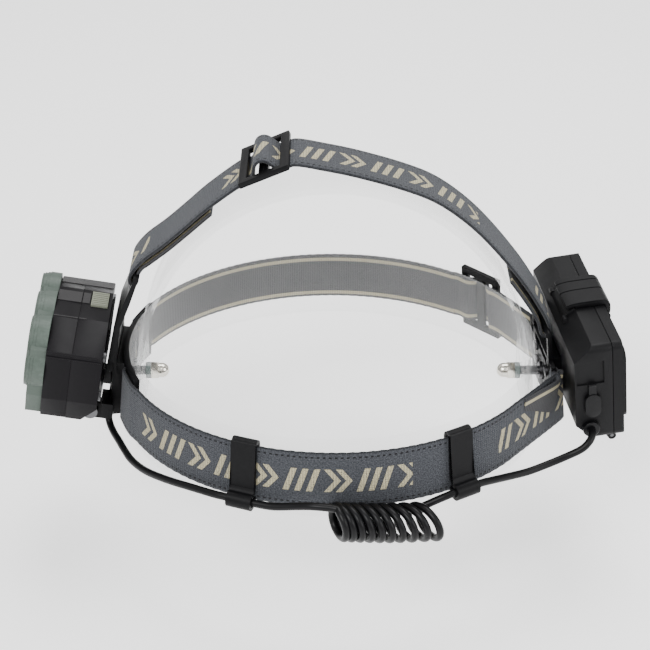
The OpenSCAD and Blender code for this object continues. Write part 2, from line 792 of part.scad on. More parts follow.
module box_cover() color("#232325")
    place_box() difference() {
        union() {
            difference() {
                union() {
                    box_layer(0, lid_x, base_d + lid_d);
                    rounded(72, 34, 4, base_d + lid_d - 0.1, base_d + lid_d + panel_d);
                }
                box_layer(shell, lid_x - 1, base_d + lid_d - shell);
                rounded(69, 32, 2, lid_x, base_d + lid_d + 0.6);
                translate([0, latch_y, 0]) at_latch() rod_y(1.8, latch_w + 0.6);
            }
            lid_knuckles([-18, 18], 1);
            translate([0, latch_y, 0]) both_sides() translate([0, latch_w / 2 + 1.6, 0])
                at_latch() rod_y(1.5, 2.6);
        }
        translate([lid_hinge.x, 0, lid_hinge.y]) rod_y(0.85, 100);
        at_latch() rod_y(0.8, 60);
    }

module cover_hinge_pin() color("silver")
    place_box() translate([lid_hinge.x, 0, lid_hinge.y]) rod_y(0.8, 71);

module at_latch() {
    translate([latch_hinge.x, 0, latch_hinge.y]) children();
}

module latch_pin() color("silver")
    place_box() translate([0, latch_y, 0]) at_latch() rod_y(0.75, latch_w + 5.4);

// The latch runs over the top from its pin at the rear, down to its nose over the keeper
module latch() color("#1b1b1d") {
    top = box_h / 2;
    back = base_d + lid_d;
    place_box() translate([0, latch_y, 0]) difference() {
        union() {
            at_latch() rod_y(1.5, latch_w);
            profile([[4.3, top + 0.5], [4, top + 1.4], [7.6, top + 2.4], [back, top + 2.2],
                [back + 2.2, top + 0.1], [back + 2.2, latch_hinge.y], [back + 0.5, latch_hinge.y],
                [back + 0.35, top + 0.35], [chamfer_x + 0.7, top + 0.35], [chamfer_x, top + 1.15]], latch_w);
        }
        at_latch() rod_y(0.8, 60);
    }
}

form_ring();
form_arch();
form_spacers();
form_bolts();
hex_nuts();
acorn_nuts();
front_plate();
hinge_yoke();
hinge_pin();
hinge_nut();
friction_washers();
rear_plate();
box_screws();
side_strap_near();
side_strap_far();
crown_strap();
crown_tail();
crown_slider();
side_slider();
strap_clips();
lead_gland_front();
lead_front();
lead_coil();
lead_rear();
lead_gland_rear();
lamp_bezel();
lamp_front_housing();
lamp_rear_cover();
rear_panel();
lens();
reflectors();
led_board();
led_chips();
heat_sink();
driver_board();
lamp_seal();
lamp_screws();
tact_switch();
switch_button();
box_base();
box_seal();
battery_cells();
contact_springs();
contact_plates();
charge_board();
charge_socket();
port_plug();
box_cover();
cover_hinge_pin();
latch();
latch_pin();
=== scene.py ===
"""Miner's cap lamp on a clear display former: the looks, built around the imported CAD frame."""

import json
import math

import bmesh
import bpy
from mathutils import Matrix, Vector


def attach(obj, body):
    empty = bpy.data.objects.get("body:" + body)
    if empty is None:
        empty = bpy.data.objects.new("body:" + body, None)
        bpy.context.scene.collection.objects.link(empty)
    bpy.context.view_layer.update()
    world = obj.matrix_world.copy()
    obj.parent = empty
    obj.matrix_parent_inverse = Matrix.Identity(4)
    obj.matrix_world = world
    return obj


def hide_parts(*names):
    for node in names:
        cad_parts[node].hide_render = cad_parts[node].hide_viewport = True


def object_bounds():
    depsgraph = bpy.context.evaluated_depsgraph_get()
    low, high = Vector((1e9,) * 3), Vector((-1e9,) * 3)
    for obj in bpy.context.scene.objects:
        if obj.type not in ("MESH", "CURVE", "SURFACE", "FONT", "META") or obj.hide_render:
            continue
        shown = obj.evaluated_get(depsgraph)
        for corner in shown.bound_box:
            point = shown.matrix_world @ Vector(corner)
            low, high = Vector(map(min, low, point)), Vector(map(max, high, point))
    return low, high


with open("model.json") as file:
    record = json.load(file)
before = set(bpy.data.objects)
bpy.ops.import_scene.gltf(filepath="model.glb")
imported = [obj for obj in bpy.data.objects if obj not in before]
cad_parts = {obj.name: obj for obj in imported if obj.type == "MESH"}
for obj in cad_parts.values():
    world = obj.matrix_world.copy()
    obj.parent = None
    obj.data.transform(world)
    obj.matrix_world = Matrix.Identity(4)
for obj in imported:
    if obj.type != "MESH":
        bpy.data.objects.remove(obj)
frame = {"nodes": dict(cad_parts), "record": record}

CAD_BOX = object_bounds()
NODES = frame["nodes"]
MM = 0.001

# Band, as in the CAD: half length, half width and the slope of its lean
BAND_A = 93.5
BAND_B = 82
LEAN = math.radians(6.5)
WEB_W = 25
WEB_T = 1.4
LEAD_D = 3.2


# ---- Camera, light and floor ----

CAMERA_TARGET = Vector((-3.5, 0, 22))
CAMERA_DISTANCE = 680
CAMERA_ELEVATION = 32
CAMERA_LENS = 86.6
LIGHT_TARGET = Vector((0, 0, 0.02))
FLOOR_SIZE = 6
FLOOR_DROP = 0.05


def make_camera():
    target = CAMERA_TARGET * MM
    elevation = math.radians(CAMERA_ELEVATION)
    back = Vector((0, -math.cos(elevation), math.sin(elevation)))
    data = bpy.data.cameras.new("camera")
    data.sensor_width = 36
    data.lens = CAMERA_LENS
    camera = bpy.data.objects.new("camera", data)
    bpy.context.scene.collection.objects.link(camera)
    camera.location = target + back * CAMERA_DISTANCE * MM
    camera.rotation_mode = "QUATERNION"
    camera.rotation_quaternion = (-back).to_track_quat("-Z", "Y")
    bpy.context.scene.camera = camera


def make_light(name, place, size, power):
    """Soft round light that looks at the middle of the object; lengths in metres, power in watts."""
    data = bpy.data.lights.new(name, "AREA")
    data.shape = "DISK"
    data.size = size
    data.energy = power
    light = bpy.data.objects.new(name, data)
    bpy.context.scene.collection.objects.link(light)
    light.location = place
    light.rotation_mode = "QUATERNION"
    light.rotation_quaternion = (LIGHT_TARGET - Vector(place)).to_track_quat("-Z", "Y")


def make_stage():
    world = bpy.data.worlds.new("studio")
    bpy.context.scene.world = world
    world.use_nodes = True
    background = world.node_tree.nodes["Background"]
    background.inputs["Color"].default_value = (1, 1, 1, 1)
    background.inputs["Strength"].default_value = 1.0
    make_light("key", (-0.5, -0.9, 1.1), 0.7, 17)
    make_light("fill", (0.9, -0.6, 0.6), 0.8, 8)
    make_light("top", (0.1, 0.5, 1.2), 0.9, 14)
    bpy.ops.mesh.primitive_plane_add(size=FLOOR_SIZE, location=(0, 0, CAD_BOX[0].z - FLOOR_DROP))
    floor = bpy.context.object
    floor.name = "floor"
    floor.data.materials.append(floor_material())


# ---- Material helpers ----

class Shader:
    """A material's node tree, with short calls for the nodes that it is made of."""

    def __init__(self, name):
        self.material = bpy.data.materials.new(name)
        self.material.use_nodes = True
        self.tree = self.material.node_tree
        self.surface = self.tree.nodes["Principled BSDF"]
        self.coordinates = self.tree.nodes.new("ShaderNodeTexCoord").outputs["Object"]

    def put(self, value, socket):
        if hasattr(value, "is_output"):
            self.tree.links.new(value, socket)
        elif isinstance(value, tuple):
            socket.default_value = (*value, 1)[:len(socket.default_value)]
        else:
            socket.default_value = value

    def math(self, operation, a, b=0.0, c=0.0):
        node = self.tree.nodes.new("ShaderNodeMath")
        node.operation = operation
        for value, socket in zip((a, b, c), node.inputs):
            self.put(value, socket)
        return node.outputs[0]

    def noise(self, scale, detail=3.0, coordinates=None, rough=0.5):
        node = self.tree.nodes.new("ShaderNodeTexNoise")
        node.inputs["Scale"].default_value = scale
        node.inputs["Detail"].default_value = detail
        node.inputs["Roughness"].default_value = rough
        self.tree.links.new(coordinates or self.coordinates, node.inputs["Vector"])
        return node.outputs["Fac"]

    def ramp(self, value, low, high):
        node = self.tree.nodes.new("ShaderNodeMapRange")
        self.put(value, node.inputs["Value"])
        node.inputs["From Min"].default_value = low
        node.inputs["From Max"].default_value = high
        return node.outputs["Result"]

    def mix(self, share, a, b):
        node = self.tree.nodes.new("ShaderNodeMix")
        node.data_type = "RGBA"
        self.put(share, node.inputs["Factor"])
        for label, value in (("A", a), ("B", b)):
            socket = [s for s in node.inputs if s.name == label and s.type == "RGBA"][0]
            self.put(value, socket)
        return [s for s in node.outputs if s.type == "RGBA"][0]

    def bump(self, height, distance, strength=1.0):
        node = self.tree.nodes.new("ShaderNodeBump")
        node.inputs["Distance"].default_value = distance
        node.inputs["Strength"].default_value = strength
        self.tree.links.new(height, node.inputs["Height"])
        self.tree.links.new(node.outputs["Normal"], self.surface.inputs["Normal"])

    def set(self, **values):
        for name, value in values.items():
            self.put(value, self.surface.inputs[name.replace("_", " ")])
        return self.material


def floor_material():
    """Pale sweep that glows faintly, so that it stays near white under a soft light."""
    shader = Shader("floor_white")
    shade = shader.mix(shader.noise(8), (0.92, 0.92, 0.92), (0.94, 0.94, 0.94))
    shader.set(Emission_Color=(1.0, 1.0, 1.0), Emission_Strength=0.45)
    return shader.set(Base_Color=shade, Roughness=0.6)


def darker(colour, share):
    return tuple(c * share for c in colour)


def moulded(name, colour, rough=0.45, grain=0.00004, grain_scale=2200, clear=0.0, shine=0.5):
    """Moulded plastic: faint flow mottle, fine spark texture, rubbed lighter edges."""
    shader = Shader(name)
    mottle = shader.noise(60, 4)
    body = shader.mix(mottle, darker(colour, 0.93), darker(colour, 1.06))
    geometry = shader.tree.nodes.new("ShaderNodeNewGeometry")
    edges = shader.ramp(geometry.outputs["Pointiness"], 0.52, 0.62)
    worn = shader.math("MULTIPLY", edges, shader.ramp(shader.noise(700, 2), 0.4, 0.7))
    shader.set(Base_Color=shader.mix(worn, body, darker(colour, 1.3)))
    shader.set(Roughness=shader.math("MULTIPLY_ADD", shader.noise(160), 0.14, rough - 0.07))
    shader.set(Coat_Weight=clear, Coat_Roughness=0.12, Specular_IOR_Level=shine)
    shader.bump(shader.noise(grain_scale, 2), grain)
    return shader.material


def metal(name, colour, rough, brushed=0.0):
    """Plated or turned metal with fine handling marks."""
    shader = Shader(name)
    marks = shader.noise(900, 5)
    shader.set(Base_Color=shader.mix(marks, darker(colour, 0.85), colour), Metallic=1.0)
    shader.set(Roughness=shader.math("MULTIPLY_ADD", marks, 0.15, rough - 0.05))
    shader.bump(marks, 0.00001 + brushed)
    return shader.material


def clear_plastic(name, colour, face, edge, rough=0.12):
    """Clear moulding that whitens where it is seen edge on."""
    shader = Shader(name)
    weight = shader.tree.nodes.new("ShaderNodeLayerWeight")
    weight.inputs["Blend"].default_value = 0.35
    haze = shader.noise(45, 3)
    facing = shader.math("POWER", weight.outputs["Facing"], 2.6)
    alpha = shader.math("MULTIPLY_ADD", facing, edge - face, face)
    alpha = shader.math("MULTIPLY_ADD", haze, 0.03, alpha)
    shader.set(Base_Color=shader.mix(haze, darker(colour, 0.94), colour), Alpha=alpha)
    shader.set(Roughness=rough, Specular_IOR_Level=0.5)
    shader.bump(shader.noise(120, 2), 0.00003)
    return shader.material


# Woven motif, in millimetres: one cell of bars and chevrons, and the printed run in each group of cells
MOTIF_CELL = 29.5
MOTIF_GROUP = 166
MOTIF_RUN = 124
MOTIF_HEIGHT = 10.4
MOTIF_BARS = (4.5, 9.2, 13.9)
MOTIF_CHEVRONS = (23.6, 28.3)


def webbing_material(name, shift):
    """Elastic webbing: slate heather face with a woven motif of plain slanted bars and chevrons, ribbed
    inner face with two beige stripes. Reads strap = (length along, place across, side) in metres."""
    shader = Shader(name)
    read = shader.tree.nodes.new("ShaderNodeAttribute")
    read.attribute_name = "strap"
    split = shader.tree.nodes.new("ShaderNodeSeparateXYZ")
    shader.tree.links.new(read.outputs["Vector"], split.inputs[0])
    along, across, side = split.outputs
    slate, pale, ink = (0.026, 0.028, 0.033), (0.06, 0.064, 0.072), (0.006, 0.006, 0.007)
    beige = (0.4, 0.36, 0.24)

    def wave(value, period, phase=0.0):
        return shader.math("SINE", shader.math("MULTIPLY_ADD", value, 2 * math.pi / period, phase))

    def band(value, centre, width):
        """1 where value is within width / 2 of centre."""
        return shader.math("LESS_THAN", shader.math("ABSOLUTE", shader.math("SUBTRACT", value, centre)),
                           width / 2)

    def any_of(masks):
        total = masks[0]
        for mask in masks[1:]:
            total = shader.math("MAXIMUM", total, mask)
        return total

    fleck = shader.ramp(shader.noise(1500, 2, read.outputs["Vector"]), 0.36, 0.66)
    rib = wave(across, 0.00095)
    pick = wave(along, 0.0011)
    face = shader.mix(fleck, slate, pale)

    # Motif: slanted bars and chevrons in groups, with a plain stretch between groups
    place = shader.math("ADD", along, shift)
    group = shader.math("MODULO", place, MOTIF_GROUP * MM)
    cell = shader.math("MODULO", place, MOTIF_CELL * MM)
    slant = shader.math("MULTIPLY_ADD", across, -0.32, cell)
    folded = shader.math("MULTIPLY_ADD", shader.math("ABSOLUTE", across), 0.8, cell)
    bars = [band(slant, c * MM, 2.4 * MM) for c in MOTIF_BARS]
    chevrons = [band(folded, c * MM, 2.6 * MM) for c in MOTIF_CHEVRONS]
    tall = band(across, 0, MOTIF_HEIGHT * MM)
    motif = shader.math("MULTIPLY", any_of(bars + chevrons), tall)
    motif = shader.math("MULTIPLY", motif, shader.math("LESS_THAN", group, MOTIF_RUN * MM))
    ragged = shader.math("GREATER_THAN", shader.noise(1900, 1, read.outputs["Vector"]), 0.34)
    motif = shader.math("MULTIPLY", motif, ragged)
    thread = shader.mix(shader.ramp(pick, -1, 1), darker(beige, 0.7), beige)
    face = shader.mix(motif, face, thread)

    # Dark picks beside both edges
    edge = any_of([band(across, s * (WEB_W / 2 - 2.1) * MM, 0.0007) for s in (-1, 1)])
    dash = shader.math("GREATER_THAN", wave(along, 0.0024), 0.1)
    face = shader.mix(shader.math("MULTIPLY", edge, dash), face, ink)
    selvedge = shader.math("GREATER_THAN", shader.math("ABSOLUTE", across), (WEB_W / 2 - 0.5) * MM)
    face = shader.mix(shader.math("MULTIPLY", selvedge, 0.6), face, ink)

    # Inner face
    ribs = shader.mix(shader.ramp(rib, -1, 1), (0.022, 0.022, 0.024), (0.05, 0.05, 0.053))
    stripes = any_of([band(across, s * (WEB_W / 2 - 2.6) * MM, 0.0019) for s in (-1, 1)])
    inner = shader.mix(stripes, ribs, darker(beige, 0.85))
    outside = shader.math("GREATER_THAN", side, 0.0)
    shader.set(Base_Color=shader.mix(outside, inner, face), Roughness=0.92)
    shader.set(Specular_IOR_Level=0.15, Sheen_Weight=0.08, Sheen_Roughness=0.5)
    knit = shader.math("MULTIPLY_ADD", rib, 0.5, shader.math("MULTIPLY", pick, 0.5))
    knit = shader.math("ADD", knit, shader.math("MULTIPLY", fleck, 0.6))
    shader.bump(shader.math("ADD", knit, motif), 0.00012)
    return shader.material


# ---- Mesh helpers ----

def add_object(name, mesh, material, body):
    piece = bpy.data.objects.new(name, mesh)
    bpy.context.scene.collection.objects.link(piece)
    piece.data.materials.append(material)
    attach(piece, body)
    return piece


def smooth_faces(piece, angle):
    piece.data.shade_smooth()
    piece.data.set_sharp_from_angle(angle=math.radians(angle))


def curve_points(points, steps):
    """Smooth curve through points, with steps pieces between each two."""
    made = []
    last = len(points) - 1
    for i in range(last):
        a, b = points[max(i - 1, 0)], points[i]
        c, d = points[i + 1], points[min(i + 2, last)]
        for s in range(steps):
            u = s / steps
            made.append(0.5 * (2 * b + (c - a) * u + (2 * a - 5 * b + 4 * c - d) * u * u
                               + (3 * b - a - 3 * c + d) * u ** 3))
    return made + [points[last]]


def resample(points, spacing):
    """Points at even spacing along a polyline."""
    made = [points[0]]
    left = spacing
    for a, b in zip(points, points[1:]):
        length = (b - a).length
        done = 0.0
        while length - done > left:
            done += left
            made.append(a.lerp(b, done / length))
            left = spacing
        left -= length - done
    return made + [points[-1]]


EDGE_ROUND = 0.12
SERRATION_PITCH = 1.7


def ribbon(name, line, across, outward, material, start):
    """Strap along the line of its middle, in millimetres. across(i) gives the direction of its width at
    each point, outward(i) that of its outer face, and start the place in the motif where it begins."""
    mesh = bpy.data.meshes.new(name)
    bevel = WEB_T * 0.45
    half, t = WEB_W / 2, WEB_T / 2
    steps = 10
    top = [(-half + bevel + (WEB_W - 2 * bevel) * k / steps, t) for k in range(steps + 1)]
    right = [(half - EDGE_ROUND, t * 0.5), (half, 0), (half - EDGE_ROUND, -t * 0.5)]
    section = top + right + [(v, -t) for v, _ in reversed(top)] + [(-v, -h) for v, h in right]
    n = len(section)
    verts, strap = [], []
    run = start
    for i, p in enumerate(line):
        if i:
            run += (p - line[i - 1]).length
        w = across(i).normalized()
        out = outward(i).normalized()
        serration = EDGE_ROUND * math.sin(run * 2 * math.pi / SERRATION_PITCH)
        for v, h in section:
            reach = v + (serration if abs(v) > half - 0.2 else 0) * (1 if v > 0 else -1)
            verts.append((p + w * reach + out * h) * MM)
            strap.append((run * MM, v * MM, 1.0 if h >= 0 else -1.0))
    faces = [[i * n + j, i * n + (j + 1) % n, (i + 1) * n + (j + 1) % n, (i + 1) * n + j]
             for i in range(len(line) - 1) for j in range(n)]
    faces += [list(range(n))[::-1], [(len(line) - 1) * n + j for j in range(n)]]
    mesh.from_pydata(verts, [], faces)
    attribute = mesh.attributes.new("strap", "FLOAT_VECTOR", "POINT")
    attribute.data.foreach_set("vector", [x for v in strap for x in v])
    work = bmesh.new()
    work.from_mesh(mesh)
    bmesh.ops.recalc_face_normals(work, faces=work.faces)
    work.to_mesh(mesh)
    piece = add_object(name, mesh, material, "headset")
    smooth_faces(piece, 50)
    return piece


def extrude_outline(name, outline, place, width, material, body, bevel):
    """Solid with an outline in its local YZ plane, width along local X, put in place by a matrix."""
    work = bmesh.new()
    ends = []
    for x in (-width / 2, width / 2):
        ends.append([work.verts.new(place @ Vector((x, y, z)) * MM) for y, z in outline])
    n = len(outline)
    work.faces.new(ends[0][::-1])
    work.faces.new(ends[1])
    for j in range(n):
        work.faces.new([ends[0][j], ends[0][(j + 1) % n], ends[1][(j + 1) % n], ends[1][j]])
    bmesh.ops.recalc_face_normals(work, faces=work.faces)
    mesh = bpy.data.meshes.new(name)
    work.to_mesh(mesh)
    piece = add_object(name, mesh, material, body)
    round_edges(piece, bevel)
    return piece


def round_edges(piece, width):
    """Welds the mesh's split corners and rounds its edges, without touching its own vertices."""
    weld = piece.modifiers.new("weld", "WELD")
    weld.merge_threshold = 0.00001
    bevel = piece.modifiers.new("round", "BEVEL")
    bevel.width = width * MM
    bevel.segments = 3
    bevel.limit_method = "ANGLE"
    bevel.angle_limit = math.radians(12)
    bevel.harden_normals = True
    piece.data.shade_smooth()


def band_point(t, off=0.0):
    """Point of the band's plan at angle t, off outwards on both half axes."""
    return Vector(((BAND_A + off) * math.cos(t), (BAND_B + off) * math.sin(t), 0))


def band_normal(t):
    return Vector((BAND_B * math.cos(t), BAND_A * math.sin(t), 0)).normalized()


def at_band(t):
    """Matrix of the place on the band at angle t: +X along it, +Y outwards, +Z up along its lean."""
    out = band_normal(t)
    along = Vector((-out.y, out.x, 0))
    lean = Matrix.Rotation(LEAN, 4, "X")
    base = Matrix((along, out, (0, 0, 1))).transposed().to_4x4()
    base.translation = band_point(t)
    return base @ lean


# ---- Lead ----

FRONT_ROUTE = [
    (-98, -18.8, -11.5), (-98, -19, -13.4), (-97.2, -21, -15.8), (-95.2, -25.5, -17),
    (-92.4, -31, -17.4), (-89.2, -37.2, -18.2), (-85.4, -43.6, -18.8), (-78.6, -52.4, -17.6),
    (-68.4, -62.4, -14.6), (-58.2, -70.2, -12.2), (-49, -76, -11), (-43.7, -78.4, -10.7),
    (-31.4, -82.8, -10.7), (-24, -85.4, -10.2), (-15, -88, -8), (-8, -90.6, -6), (-3, -92.5, -5.4),
]
COIL_ROUTE = [(-3, -92.5, -12), (20, -89.8, -15), (44, -84, -18.5)]
REAR_ROUTE = [
    (44.2, -83.9, -12), (47.8, -76.5, -10.7), (59.1, -70, -10.7), (65, -66, -12),
    (72, -61.2, -13.8), (81, -56.2, -15), (90, -52, -14.2), (98, -49.5, -12),
    (104, -48.6, -9), (107.2, -47, -6.4), (108.8, -44.2, -4.8), (109, -41.2, -4.4),
]
TURNS = 10
TURN_STEPS = 20
TURN_R = 6.5
LAST_TURN_CUT = 0.18


def coil_points():
    """The helix: over the top towards the viewer, its turns closer together at the lamp's end."""
    axis = curve_points([Vector(p) for p in COIL_ROUTE], 40)
    made = []
    total = int((TURNS - LAST_TURN_CUT) * TURN_STEPS)
    for k in range(total + 1):
        share = k / total
        spread = 0.12 + 0.76 * (0.75 * share + 0.25 * share * share)
        centre = lerp_along(axis, spread)
        turn = 2 * math.pi * k / TURN_STEPS
        tilt = 3.4 + 1.6 * share
        made.append(centre + Vector((tilt * math.sin(turn), -TURN_R * math.sin(turn),
                                     TURN_R * math.cos(turn))))
    return made


def lerp_along(points, share):
    """Point at a share from 0 to 1 of the way through a list of points."""
    place = share * (len(points) - 1)
    i = min(int(place), len(points) - 2)
    return points[i].lerp(points[i + 1], place - i)


def make_lead(material):
    front = [Vector(p) for p in FRONT_ROUTE[:-1]]
    rear = [Vector(p) for p in REAR_ROUTE[1:]]
    line = curve_points(front + coil_points() + rear, 4)
    line = resample(line, 0.8)
    data = bpy.data.curves.new("lead", "CURVE")
    data.dimensions = "3D"
    spline = data.splines.new("POLY")
    spline.points.add(len(line) - 1)
    for point, place in zip(spline.points, line):
        point.co = (*(place * MM), 1)
    data.bevel_depth = LEAD_D / 2 * MM
    data.bevel_resolution = 6
    data.use_fill_caps = True
    data.materials.append(material)
    lead = bpy.data.objects.new("lead", data)
    bpy.context.scene.collection.objects.link(lead)
    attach(lead, "headset")
    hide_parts("lead_front", "lead_coil", "lead_rear")
    return lead


# ---- Straps ----

BOX_YAW = math.radians(6)
STRAP_LIFT = 0.85
STRAP_REAR = 0.7 + WEB_T + 0.05
SLOT_Y = 20.1
SIDE_SLIDER_ANGLE = 42
INTO_SLOT = ((2.6, -3.4), (1.3, -1.2))


def rear_point(y, off):
    """Point of the rear plate's plan, y along the plate and off outwards."""
    return Vector((BAND_A + off * math.cos(BOX_YAW) - y * math.sin(BOX_YAW),
                   off * math.sin(BOX_YAW) + y * math.cos(BOX_YAW), 0))


def lift(t):
    if math.cos(t) > 0:
        return 0.0
    share = min(max((38 - abs(BAND_B * math.sin(t))) / 5, 0), 1)
    return STRAP_LIFT * share * share * (3 - 2 * share)


def band_run(start, end, off):
    """Middle of a strap on the band from angle start to end, in degrees."""
    steps = 70
    angles = [math.radians(start + (end - start) * k / steps) for k in range(steps + 1)]
    return [band_point(t, lift(t) + off) for t in angles]


def plan_strap(name, plan, material, start):
    """Strap that stands on edge along a plan line, leaning towards the crown."""
    line = resample(curve_points(plan, 3), 1.2)
    last = len(line) - 1

    def outward(i):
        v = line[min(i + 1, last)] - line[max(i - 1, 0)]
        flat = Vector((v.y, -v.x, 0)).normalized()
        return flat * math.cos(LEAN) + Vector((0, 0, math.sin(LEAN)))

    def across(i):
        v = line[min(i + 1, last)] - line[max(i - 1, 0)]
        flat = Vector((v.y, -v.x, 0)).normalized()
        return -flat * math.sin(LEAN) + Vector((0, 0, math.cos(LEAN)))

    return ribbon(name, line, across, outward, material, start)


def make_side_straps(near_material, far_material):
    middle = -WEB_T / 2
    front = math.degrees(math.asin(SLOT_Y / BAND_B))
    into_slot = [band_point(math.radians(180 + front - turn), off) for turn, off in INTO_SLOT]
    rear_edge = STRAP_REAR + middle
    wrap = [rear_point(y, off) for y, off in
            ((-22.6, rear_edge), (-20.6, rear_edge), (-18.9, rear_edge - 0.2),
             (-17.6, rear_edge - 1.6), (-17.4, rear_edge - 3.4), (-18.8, rear_edge - 4.8),
             (-22.6, rear_edge - 4.2), (-27, rear_edge - 3.4))]
    inner = [band_point(math.radians(-t), off) for t, off in ((26, 0.6), (31, -1.6))]
    near = plan_strap("side_strap_near_webbing",
                      into_slot + band_run(180 + front, 325, middle) + wrap + inner, near_material, 0)
    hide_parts("side_strap_near")

    t = math.radians(SIDE_SLIDER_ANGLE)
    along = Vector((-BAND_A * math.sin(t), BAND_B * math.cos(t), 0)).normalized()
    out = Vector((along.y, -along.x, 0))
    weave = [band_point(t) + along * x + out * (h + middle)
             for x, h in ((-12, 0), (-6.3, 0), (-2.3, 4.7), (2.3, 4.7), (6.3, 0), (12, 0))]
    mirror = [rear_point(y, off) for y, off in
              ((18.6, rear_edge - 0.4), (20.6, rear_edge), (22.6, rear_edge))]
    into_far = [band_point(math.radians(180 - front + turn), off) for turn, off in INTO_SLOT[::-1]]
    far = plan_strap("side_strap_far_webbing",
                     mirror + weave + band_run(52, 180 - front, middle) + into_far, far_material, 30)
    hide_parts("side_strap_far")


CROWN_FRONT = [(-85.4, 50.8), (-84.2, 54.8), (-79, 61), (-70.5, 67.8), (-62, 75.4), (-52, 84.6)]
CROWN_REAR = [(-3.5, 102.8), (10, 99.7), (28, 94.2), (42, 88.2), (55, 78.6), (66.5, 66.8),
              (79, 51), (87.4, 38)]
CROWN_FOLD = [(-79.6, 57.2), (-81.6, 54.2), (-82.4, 50.4), (-84.0, 48.9)]
CROWN_LOOP = [(91.4, 30.4), (92.6, 26.2), (91.2, 23.6), (88.9, 25.2), (87.4, 30.4), (84.2, 36.4),
              (79.8, 43.2), (74.6, 50.6)]
SLIDER_WEAVE = [(-12.5, -2.05), (-6.4, -2.05), (-2.2, 4.2), (2.2, 4.2), (6.4, -2.05), (12.5, -2.05)]
SLIDER_AT = Vector((-28, 0, 101.8))
SLIDER_SLOPE = math.radians(23.5)


def on_slider(x, h):
    """Point beside the crown slider: x along its slope and h above it."""
    c, s = math.cos(SLIDER_SLOPE), math.sin(SLIDER_SLOPE)
    return SLIDER_AT + Vector((x * c - h * s, 0, x * s + h * c))


def crown_ribbon(name, line, material, start):
    last = len(line) - 1

    def outward(i):
        v = line[min(i + 1, last)] - line[max(i - 1, 0)]
        return Vector((-v.z, 0, v.x))

    return ribbon(name, line, lambda i: Vector((0, 1, 0)), outward, material, start)


def make_crown_straps(material):
    front, rear, fold, loop = [[Vector((x, 0, z)) for x, z in route]
                               for route in (CROWN_FRONT, CROWN_REAR, CROWN_FOLD, CROWN_LOOP)]
    under = [p + Vector((1.9, 0, -2.0)) for p in reversed(front[2:])]
    weave = [on_slider(x, h) for x, h in SLIDER_WEAVE]
    line = resample(curve_points(under + fold + front + weave + rear + loop, 5), 1.1)
    crown = crown_ribbon("crown_strap_webbing", line, material, 58)
    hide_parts("crown_strap", "crown_tail")


# ---- Clips and sliders ----

def thick_line(points, thick):
    """Outline of a line of even thickness, from points in a plane."""
    left, right = [], []
    last = len(points) - 1
    for i, p in enumerate(points):
        a, b = points[max(i - 1, 0)], points[min(i + 1, last)]
        d = (b - a).normalized()
        n = Vector((-d.y, d.x)) * thick / 2
        left.append(p + n)
        right.append(p - n)
    return [(v.x, v.y) for v in left + right[::-1]]


CLIP_ANGLES = (-112.5, -57)
CLIP_WIDTH = 10.6
CLIP_THICK = 1.5
CLIP_ROLL = Vector((3.9, -11.2))
CLIP_ROLL_R = 2.75
CLIP_SPINE = [(-2.2, 8), (-2.2, 12.4), (-1.7, 13.9), (-0.3, 14.4), (1.0, 13.8), (1.35, 12.4),
              (1.35, -4.6), (1.7, -6.4), (2.6, -7.9)]


def make_clips(material):
    """Clips over the webbing, each with an open roll at its foot that the lead lies in."""
    roll = [CLIP_ROLL + CLIP_ROLL_R * Vector((math.cos(math.radians(a)), math.sin(math.radians(a))))
            for a in range(100, -201, -25)]
    spine = [Vector(p) for p in CLIP_SPINE]
    outline = thick_line(curve_points(spine + roll, 3), CLIP_THICK)
    for k, t in enumerate(CLIP_ANGLES):
        clip = extrude_outline(f"lead_clip_{k + 1}", outline, at_band(math.radians(t)), CLIP_WIDTH,
                               material, "headset", bevel=0.35)
        if k == 0:
            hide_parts("strap_clips")


# ---- Detail on the lamp and the box ----

def place_lamp():
    """The lamp's own frame: its origin, a slight turn about Z and its resting tilt."""
    return (Matrix.Translation((-99.1, 0, 13)) @ Matrix.Rotation(math.radians(1.5), 4, "Z")
            @ Matrix.Rotation(math.radians(10.5), 4, "Y"))


def place_box():
    """The battery box's own frame: yawed with the rear plate and leaning like the band."""
    return (Matrix.Translation((96.7, -1.3, 11.4)) @ Matrix.Rotation(BOX_YAW, 4, "Z")
            @ Matrix.Rotation(-LEAN, 4, "Y"))


def seen_from_side(y):
    """Turns an outline's plane so that its first axis is the box's X and it is extruded along Y."""
    return Matrix.Translation((0, y, 0)) @ Matrix.Rotation(math.radians(-90), 4, "Z")


def bar(name, lows, highs, place, material, body, bevel):
    """Box with rounded edges between two local corners, in millimetres."""
    work = bmesh.new()
    bmesh.ops.create_cube(work, size=1)
    size = Vector(highs) - Vector(lows)
    middle = (Vector(highs) + Vector(lows)) / 2
    for v in work.verts:
        v.co = place @ (Vector((v.co.x * size.x, v.co.y * size.y, v.co.z * size.z)) + middle) * MM
    bmesh.ops.recalc_face_normals(work, faces=work.faces)
    mesh = bpy.data.meshes.new(name)
    work.to_mesh(mesh)
    piece = add_object(name, mesh, material, body)
    round_edges(piece, bevel)
    return piece


LAMP_FRONT = -31.8
BEZEL_BACK = -23.6
SEAM = -12.8
LAMP_HALF = 31
SCALLOPS = [(0, 5.6, 13.4), (-18, 8.6, 9.7), (18, 8.6, 9.7), (-19.2, 0.4, 12.2), (19.2, 0.4, 12.2)]
LOBE_FOOT = -9.5
RIM_STEPS = 3
RIM_RISE = 0.35
RIM_DEPTH = 1.25


